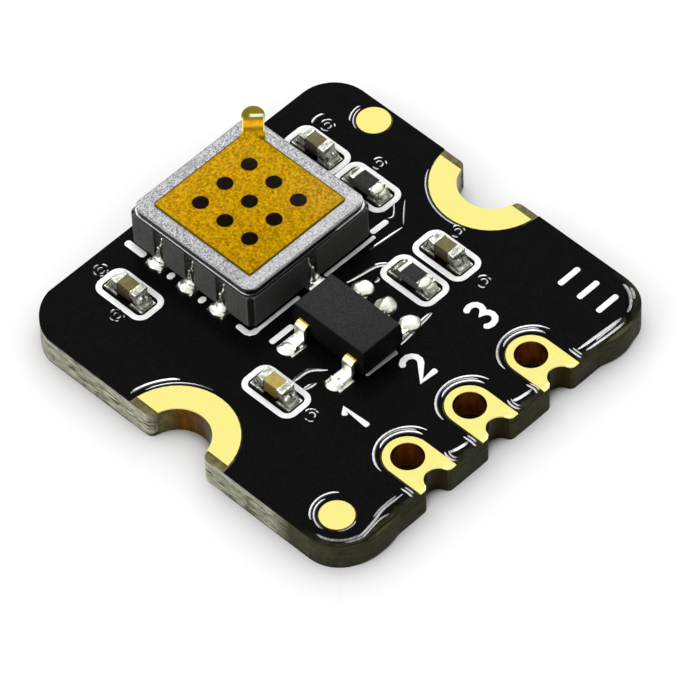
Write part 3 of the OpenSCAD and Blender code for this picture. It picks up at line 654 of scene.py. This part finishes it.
FIGURES = {
    "one": (-2.52, [(-0.18, 0.28), (0.02, 0.48), (0.02, -0.5)]),
    "two": (-0.02, bend(0.29, 0.27, 0.22, 165, -46, -30) + [(-0.3, -0.48), (0.34, -0.48)]),
    "three": (2.62, bend(0.26, 0.24, 0.24, 150, -91, -30) + bend(0.29, 0.26, -0.23, 90, -151, -30)[1:]),
}
FIGURE_Y, FIGURE_HEIGHT = -3.24, 0.96
for name, (x, stroke) in FIGURES.items():
    print_line([(x + u * FIGURE_HEIGHT, FIGURE_Y + v * FIGURE_HEIGHT) for u, v in stroke], "ink_figure_%s_1" % name)
BAR_Y, BAR_PITCH = -4.1, 0.75
for i in range(3):
    y = BAR_Y - BAR_PITCH * i
    print_line([(5.0, y), (5.85, y)], "ink_bar_%d" % (i + 1))

# Sensor package. A black alumina box with bright plated grooves, tinned and
# soldered to the board, and a plain metal ring brazed round its mouth.
SENSOR, SENSOR_HALF, TERMINAL_PITCH = Vector((0.22, 3.66, 0)), 2.5, 1.27
ceramic = new_material("package_ceramic")
fired_colour = blend(grain(20000, bite=0.22), (0.058, 0.057, 0.055), (0.115, 0.113, 0.108))
from_middle = vector_calc("ABSOLUTE", vector_calc("SUBTRACT", place_on_piece(), SENSOR * MM))
split = add_node("SeparateXYZ", {0: from_middle}).outputs
to_corner = calc("MINIMUM", split["X"], split["Y"])
# Near each upright corner a thin pale line is painted on each face and a dark band over the corner itself: painted
# reflections and painted shade on the rounded corner.
corner_highlight_lines = blend(between(to_corner, 0.00230, 0.00233, 0.00001), fired_colour, (0.13, 0.13, 0.128))
edged = blend(between(to_corner, 0.00235, 1.0, 0.00001), corner_highlight_lines, (0.012, 0.012, 0.012))
finish(edged, 0.55, (grain(22000), 0.000004), specular=0.05)


def softened(name, width, material):
    """A copy of a CAD solid with its hard edges rounded off, in its place."""
    piece = twin(name, "_soft")
    edit_all()
    bpy.ops.mesh.remove_doubles(threshold=1e-8)
    bpy.ops.mesh.dissolve_limited(angle_limit=math.radians(1))
    bpy.ops.object.mode_set(mode="OBJECT")
    round_edges(piece, width, 35)
    settle(piece, name + "_soft", material)
    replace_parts(piece, name)


softened("sensor_body", 0.03, ceramic)


def bare_metal(name, dark, pale, rough, per_metre, depth, lumps=None):
    material = new_material(name)
    level = grain(per_metre)
    if lumps:
        level = calc("MULTIPLY_ADD", grain(lumps), 4.0, level)
    finish(blend(grain(per_metre, bite=0.2), dark, pale), grain(per_metre * 0.6, *rough), (level, depth), metallic=1.0)
    return material


tinned = bare_metal("tinned_bead", (0.72, 0.73, 0.60), (0.92, 0.92, 0.78), (0.26, 0.40), 4500, 0.0000015)
creamy = bare_metal("creamy_solder", (0.66, 0.66, 0.58), (0.92, 0.92, 0.83), (0.24, 0.38), 4500, 0.0000025, 2200)
wetted = bare_metal("wetted_solder", (0.64, 0.64, 0.58), (0.86, 0.86, 0.79), (0.15, 0.30), 4500, 0.000004, 2200)
# The lining of the plated grooves is painted dark grey: painted shade in the grooves.
lining = bare_metal("groove_lining", (0.05, 0.05, 0.048), (0.16, 0.16, 0.15), (0.3, 0.5), 9000, 0.000003)
# The chip solder is painted dark grey, standing in for the dark board it mirrors: painted reflection.
solder_dark_reflection = bare_metal("dull_solder", (0.06, 0.06, 0.052), (0.50, 0.50, 0.44), (0.14, 0.30), 5500, 0.000006, 3300)
ring_metal = bare_metal("brazed_ring", (0.30, 0.30, 0.30), (0.55, 0.55, 0.55), (0.3, 0.5), 12000, 0.000003)
# The ring is painted dark over its front face and down its sides below the top edge, leaving a bright line at its top:
# painted shade.
ring_front_shade = calc("MULTIPLY", band("Y", 0.0, 0.0015, 0.00004), band("X", -0.00216, 0.0013, 0.00006))
overlay(ring_front_shade, (0.05, 0.05, 0.05))
overlay(calc("SUBTRACT", 1.0, band("Z", 0.00231, 0.0024, 0.000006)), (0.03, 0.03, 0.03))
wear(nodes["sensor_terminals"], lining)
wear(nodes["solder_pads"], wetted)
softened("seal_ring", 0.02, ring_metal)


def lump(centre, radii, turn=0.0):
    """A rounded lump to be melted into its neighbours."""
    bpy.ops.object.select_all(action="DESELECT")
    bpy.ops.mesh.primitive_ico_sphere_add(subdivisions=3, radius=MM, location=Vector(centre) * MM,
                                          rotation=(0, 0, math.radians(turn)), scale=radii)
    return bpy.context.active_object


def melted(name, lumps, material, rounds=6, ripple=0.012, per_mm=5.0):
    """Solder: lumps, and the CAD joints of that name, run together and slump."""
    if name in nodes:
        lumps = [twin(name, "_joint")] + lumps
    joint = lumps[0]
    choose(*lumps)
    bpy.ops.object.transform_apply(location=True, rotation=True, scale=True)
    bpy.ops.object.join()
    joint.scale = (1 / MM,) * 3
    bpy.ops.object.transform_apply(location=True, rotation=True, scale=True)
    edit_all()
    bpy.ops.mesh.remove_doubles(threshold=1e-5)
    bpy.ops.object.mode_set(mode="OBJECT")
    skin = joint.modifiers.new("skin", "REMESH")
    skin.mode = "VOXEL"
    skin.voxel_size = 0.02
    slump = joint.modifiers.new("slump", "SMOOTH")
    slump.factor = 0.5
    slump.iterations = rounds
    bpy.ops.object.modifier_apply(modifier="skin")
    bpy.ops.object.modifier_apply(modifier="slump")
    shifts = [v.normal * ripple * noise.noise(v.co * per_mm) for v in joint.data.vertices]
    for v, shift in zip(joint.data.vertices, shifts):
        v.co += shift
    joint.scale = (MM,) * 3
    settle(joint, name + "_melted", material, 80)
    if name in nodes:
        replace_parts(joint, name)


# Each groove of the package has a mound at its foot and a thin wick above it.
# A lump of the mound has its reach past the wall, height, radii and shift.
MOUND = ((0.14, 1.03, (0.25, 0.31, 0.15), 0.0), (0.02, 1.12, (0.16, 0.22, 0.20), 0.03),
         (0.24, 1.02, (0.14, 0.19, 0.08), -0.07))
mounds = []
at_sides = [(place, turn) for turn in (0, 180) for place in (-TERMINAL_PITCH, 0, TERMINAL_PITCH)]
for along, turn in at_sides + [(0, 90), (0, 270)]:
    spin = Matrix.Rotation(math.radians(turn), 3, "Z")
    for out, z, radii, aside in MOUND:
        out = min(out, 0.06) if turn == 90 else out
        foot = SENSOR + spin @ Vector((SENSOR_HALF + out, along + aside, 0))
        mounds.append(lump(foot + Vector((0, 0, z)), radii, turn))
    for step in range(5):
        slim = 0.012 * step
        foot = SENSOR + spin @ Vector((SENSOR_HALF - 0.1 - 0.015 * step, along, 0))
        mounds.append(lump(foot + Vector((0, 0, 1.22 + 0.15 * step)), (0.105 - slim, 0.10 - slim, 0.15), turn))
melted("sensor_solder", mounds, creamy, ripple=0.02)

# Inside the sensor. A chip with its heated oxide film sits in glue on the
# floor, with gold wires to the bond shelf; the gas holes look down on it.
for name, dark, pale, rough in (("sensor_glue", (0.34, 0.32, 0.24), (0.5, 0.48, 0.38), 0.7),
                                ("sensor_die", (0.10, 0.11, 0.13), (0.16, 0.17, 0.19), 0.25),
                                ("sensing_film", (0.16, 0.03, 0.02), (0.28, 0.06, 0.04), 0.8)):
    matter = new_material(name + "_matter")
    finish(blend(grain(16000), dark, pale), rough, (grain(20000), 0.000003))
    wear(nodes[name], matter)

# Lid. Stamped nickel-iron with a fine speckled satin face, pierced with nine
# gas holes and seam-welded to the ring.
lid = new_material("speckled_lid")
speckle = blend(grain(21000, bite=0.15), (0.054, 0.054, 0.057), (0.38, 0.38, 0.388))
lit_front_rim = blend(grain(21000, bite=0.15), (0.14, 0.14, 0.145), (0.40, 0.40, 0.405))
# The lid's front rim is painted with a lighter speckle: painted light.
speckle = blend(band("Y", 0.0011, 0.00178, 0.00006), speckle, lit_front_rim)
cloud = blend(grain(2200, 0, 0.3), speckle, (0.20, 0.20, 0.205))
# Below the top face the lid's sides are painted near black: painted shade.
lid_colour = blend(band("Z", 0.0020, 0.00250, 0.000012), cloud, (0.045, 0.045, 0.045))
finish(lid_colour, grain(21000, 0.38, 0.6), (grain(21000), 0.000006), metallic=1.0)
softened("sensor_lid", 0.03, lid)

# Film. Clear amber tape stuck over the holes, which show dark through it; its
# pull tab crosses the back corner of the lid and curls up at the end.
HOLE_R, HALF_PITCH = 0.000255, 0.0005
film_material = new_material("amber_tape")
flat = vector_calc("MULTIPLY", vector_calc("SUBTRACT", place_on_piece(), SENSOR * MM), (1, 1, 0))
along = vector_calc("DOT_PRODUCT", flat, (0.7071, 0.7071, 0))
across = vector_calc("DOT_PRODUCT", flat, (0.7071, -0.7071, 0))


def square(half, soft):
    """1 inside a square round the sensor's middle, seen from above."""
    x, y = SENSOR.x * MM, SENSOR.y * MM
    return calc("MULTIPLY", band("X", x - half, x + half, soft), band("Y", y - half, y + half, soft))


# The tape's colour paints the lid seen through it, with dark dots where the holes lie under it: painted shade of the
# cavity.
repeated = vector_calc("LENGTH", vector_calc("WRAP", flat, (HALF_PITCH,) * 3, (-HALF_PITCH,) * 3))
disc = spread(repeated, HOLE_R - 0.000015, HOLE_R + 0.000015, 1.0, 0.0)
fine = blend(grain(13000, bite=0.13), (0.185, 0.085, 0.0003), (0.69, 0.405, 0.0026))
hue = blend(grain(6000, bite=0.12), (0.555, 0.22, 0.001), (0.41, 0.275, 0.002))
broad = blend(grain(3500, 0.15, 0.60), fine, hue)
pierced = blend(calc("MULTIPLY", disc, square(3 * HALF_PITCH, 0.00001)), broad, (0.006, 0.0036, 0.0003))
kept = calc("MAXIMUM", square(0.001935, 0.00002), between(along, 0.00250, 1.0, 0.00005))
edged = blend(kept, (0.11, 0.075, 0.002), pierced)
# Along the curled tab the colour runs through brown painted shade, bright orange and olive, with a pale green-white
# painted highlight across it; its sides are painted bright yellow, a painted highlight.
ramp = add_node("ValToRGB", {"Fac": spread(along, 0.0027, 0.0037)})
stops = ramp.color_ramp.elements
stops[0].color, stops[1].color = (0.22, 0.10, 0.002, 1), (0.22, 0.19, 0.035, 1)
for at, tint in ((0.10, (0.20, 0.09, 0.002)), (0.19, (0.80, 0.39, 0.012)), (0.36, (0.84, 0.42, 0.015)),
                 (0.43, (0.34, 0.19, 0.008)), (0.50, (0.15, 0.12, 0.012)), (0.72, (0.12, 0.12, 0.010))):
    stops.new(at).color = (*tint, 1)
clouded = blend(grain(7000, 0, 0.6), ramp.outputs["Color"], (0.36, 0.22, 0.006))
shine = calc("MULTIPLY", between(along, 0.00323, 0.00334, 0.00002), between(across, 0.00002, 0.00042, 0.00004))
tab_highlight = blend(shine, clouded, (0.74, 0.85, 0.52))
sides_lit = blend(between(across, -0.00017, 0.00041, 0.00001), (0.88, 0.72, 0.20), tab_highlight)
tab_lit_edges = blend(between(along, 0.0, 0.00322, 0.00004), tab_highlight, sides_lit)
film_colour = blend(between(along, 0.00268, 1.0, 0.00006), edged, tab_lit_edges)
finish(film_colour, grain(9000, 0.14, 0.3), (grain(12000), 0.000003), specular=0.012)

FILM_SIDE, LID_TOP = 3.96, 2.5525
CORNER_R, TAB_ROOT, TAB_ASIDE = 0.1, 0.516, 0.118
bpy.ops.object.select_all(action="DESELECT")
bpy.ops.mesh.primitive_plane_add(size=FILM_SIDE * MM, location=(SENSOR + Vector((0, 0, LID_TOP))) * MM)
tape = bpy.context.active_object
bpy.ops.object.transform_apply(location=True, rotation=True, scale=True)


def pick(piece, test, kind="VERT"):
    """In edit mode, selects only the vertices or edges that pass a test."""
    bpy.ops.mesh.select_mode(type=kind)
    bpy.ops.mesh.select_all(action="DESELECT")
    mesh = bmesh.from_edit_mesh(piece.data)
    for part in {"VERT": mesh.verts, "EDGE": mesh.edges}[kind]:
        place = part.co if kind == "VERT" else sum((v.co for v in part.verts), Vector()) / len(part.verts)
        if test(place / MM - SENSOR):
            part.select_set(True)
    mesh.select_flush_mode()
    bmesh.update_edit_mesh(piece.data)


bpy.ops.object.mode_set(mode="EDIT")
pick(tape, lambda c: c.x + c.y < 1)
bpy.ops.mesh.bevel(offset=CORNER_R * MM, offset_type="OFFSET", segments=5, affect="VERTICES")
pick(tape, lambda c: c.x > 1.97 and c.y > 1.97)
bpy.ops.mesh.bevel(offset=TAB_ROOT * MM, offset_type="OFFSET", segments=1, affect="VERTICES")
pick(tape, lambda c: c.x > 1.4 and c.x < 1.9 and c.y > 1.9)
bpy.ops.transform.translate(value=(0.10 * MM, 0, 0))
pick(tape, lambda c: c.y > 1.4 and c.y < 1.9 and c.x > 1.9)
bpy.ops.transform.translate(value=(0, -0.13 * MM, 0))
pick(tape, lambda c: 1.6 < c.x < 1.95 and 1.5 < c.y < 1.95, "EDGE")
bpy.ops.mesh.subdivide(number_cuts=5)
pick(tape, lambda c: 1.5 < c.x < 1.98 and 1.2 < c.y < 1.98, "EDGE")
out_way, side_way = Vector((1, 1, 0)).normalized(), Vector((1, -1, 0)).normalized()
# Each row of the tab has its reach, its half width and its lift.
rows = [(2.66, 0.345, 0.0), (2.80, 0.332, 0.0), (2.95, 0.324, 0.0), (3.08, 0.322, 0.0), (3.18, 0.332, 0.006)]
for i in range(12):
    swing = math.radians(7.5 * i)
    rows.append((3.285 + 0.345 * math.sin(swing), 0.346 * math.cos(swing), 0.014 + 0.046 * math.sin(swing)))
for reach, half, lift in rows:
    bpy.ops.mesh.extrude_region_move(TRANSFORM_OT_translate={"value": (0, 0, 0)})
    row = sorted((v for v in bmesh.from_edit_mesh(tape.data).verts if v.select), key=lambda v: v.co.dot(side_way))
    for k, v in enumerate(row):
        aside = TAB_ASIDE + (2 * k / (len(row) - 1) - 1) * half
        v.co = (SENSOR + out_way * reach + side_way * aside + Vector((0, 0, LID_TOP + lift))) * MM
    bmesh.update_edit_mesh(tape.data)
bpy.ops.object.mode_set(mode="OBJECT")
depth = tape.modifiers.new("depth", "SOLIDIFY")
depth.thickness = 0.035 * MM
depth.offset = 1
bpy.ops.object.modifier_apply(modifier="depth")
round_edges(tape, 0.008, 50, segments=2)
settle(tape, "amber_tape_sheet", film_material, 30)
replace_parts(tape, "sensor_film")

# Regulator. A small outline package: matt moulded epoxy with bent tinned
# leads that still show the copper-gold of their roots, and its solder.
mould = new_material("moulded_epoxy")
matt = blend(grain(24000, bite=0.2), (0.013, 0.013, 0.0132), (0.036, 0.036, 0.037))
# Below the top face the epoxy is painted near black: painted shade on the sides.
moulded = blend(band("Z", 0.0, 0.00207, 0.000012), matt, (0.0045, 0.0045, 0.0048))
finish(moulded, 0.62, (grain(20000), 0.000005), specular=0.04)
softened("regulator_body", 0.035, mould)
lead_metal = new_material("regulator_lead_metal")
tin = blend(grain(9000), (0.74, 0.73, 0.63), (0.90, 0.89, 0.80))
rooted = blend(band("Z", 0.00161, 0.0030, 0.00004), tin, (0.95, 0.62, 0.20))
finish(rooted, grain(8000, 0.30, 0.45), (grain(7000), 0.0000015), metallic=1.0)
for i in range(5):
    softened("regulator_lead_%d" % (i + 1), 0.02, lead_metal)
REG_X, REG_Y, LEAD_PITCH = -0.57, -1.04, 0.95
feet = []
for y in (-LEAD_PITCH, 0, LEAD_PITCH):
    feet += [lump((REG_X + 1.52, REG_Y + y - 0.02, 1.05), (0.36, 0.31, 0.22), -22),
             lump((REG_X + 1.62, REG_Y + y + 0.08, 1.03), (0.25, 0.16, 0.15))]
for y in (-LEAD_PITCH, LEAD_PITCH):
    feet += [lump((REG_X - 1.42, REG_Y + y, 1.03), (0.22, 0.27, 0.14)),
             lump((REG_X - 1.62, REG_Y + y + 0.02, 1.02), (0.17, 0.25, 0.09))]
melted("regulator_solder", feet, creamy, ripple=0.045, per_mm=3.5)

# Chip capacitors. Fired ceramic blocks in a drab yellow with metal cups over
# both ends; one has an orange cast.


def fired(name, dark, pale, side):
    material = new_material(name)
    # Below the top face the body takes the darker side colour: painted shade on the sides.
    colour = blend(band("Z", 0.0, 0.00150, 0.000012), blend(grain(9000), dark, pale), side)
    finish(colour, grain(6000, 0.25, 0.45), (grain(12000), 0.000004), specular=0.3)
    return material


drab = fired("drab_ceramic", (0.14, 0.122, 0.018), (0.24, 0.215, 0.042), (0.038, 0.027, 0.006))
warm = fired("warm_ceramic", (0.54, 0.42, 0.07), (0.80, 0.66, 0.14), (0.16, 0.085, 0.008))
cup_metal = bare_metal("end_cup_metal", (0.10, 0.10, 0.082), (0.40, 0.40, 0.35), (0.18, 0.32), 5500, 0.000004, 3600)
# The tops of the end cups are painted paler than their faces: painted highlight.
overlay(band("Z", 0.00149, 0.0020, 0.00001), blend(grain(7000), (0.26, 0.27, 0.23), (0.62, 0.64, 0.55)))
for i in range(4):
    softened("capacitor_%d_body" % (i + 1), 0.02, warm if i == 3 else drab)
    softened("capacitor_%d_ends" % (i + 1), 0.03, cup_metal)

# Chip resistors. Alumina painted dark grey for the shade its sides lie in (painted shade),
# with a dark glaze over the film on top and bright tinned ends.
alumina = new_material("grey_alumina")
finish(blend(grain(14000), (0.030, 0.030, 0.028), (0.095, 0.095, 0.088)), 0.7, (grain(18000), 0.000003))
glaze = new_material("dark_glaze")
finish(blend(grain(8000), (0.009, 0.0098, 0.009), (0.028, 0.030, 0.027)), 0.3, (grain(9000), 0.000003), specular=0.13)
bright_end = bare_metal("bright_tin_end", (0.12, 0.12, 0.10), (0.46, 0.47, 0.41), (0.14, 0.28), 5000, 0.000004, 2800)
# The far end of each resistor is painted darker, with a thin pale strip along its top: painted shade and a painted
# highlight.
for low, high in ((0.00258, 0.0032), (-0.00090, -0.0003)):
    overlay(band("Y", low, high, 0.00001), blend(grain(5000), (0.045, 0.045, 0.040), (0.24, 0.24, 0.21)))
for low, high in ((0.00286, 0.00296), (-0.00062, -0.00052)):
    overlay(calc("MULTIPLY", band("Y", low, high, 0.00002), band("Z", 0.00134, 0.0020, 0.00001)), (0.88, 0.88, 0.76))
for i in (1, 2):
    wear(nodes["resistor_%d_base" % i], alumina)
    wear(nodes["resistor_%d_coat" % i], glaze)
    softened("resistor_%d_ends" % i, 0.025, bright_end)
drops = []
for i, (x, y) in enumerate(RESISTORS):
    drops.append(lump((x, y + 0.6, 1.05), (0.22, 0.14, 0.12)))
    bead = [lump((x - 0.05, y - 0.46, 1.31), (0.25, 0.16, 0.12)), lump((x + 0.02, y - 0.58, 1.17), (0.19, 0.12, 0.13))]
    melted("resistor_%d_bead" % (i + 1), bead, tinned)
for x, y in CAPACITORS:
    for end in (-1, 1):
        drops += [lump((x - 0.08, y + end * 0.56, 1.14), (0.17, 0.12, 0.20)),
                  lump((x + 0.10, y + end * 0.58, 1.10), (0.15, 0.12, 0.16))]
melted("chip_solder", drops, solder_dark_reflection, rounds=4)
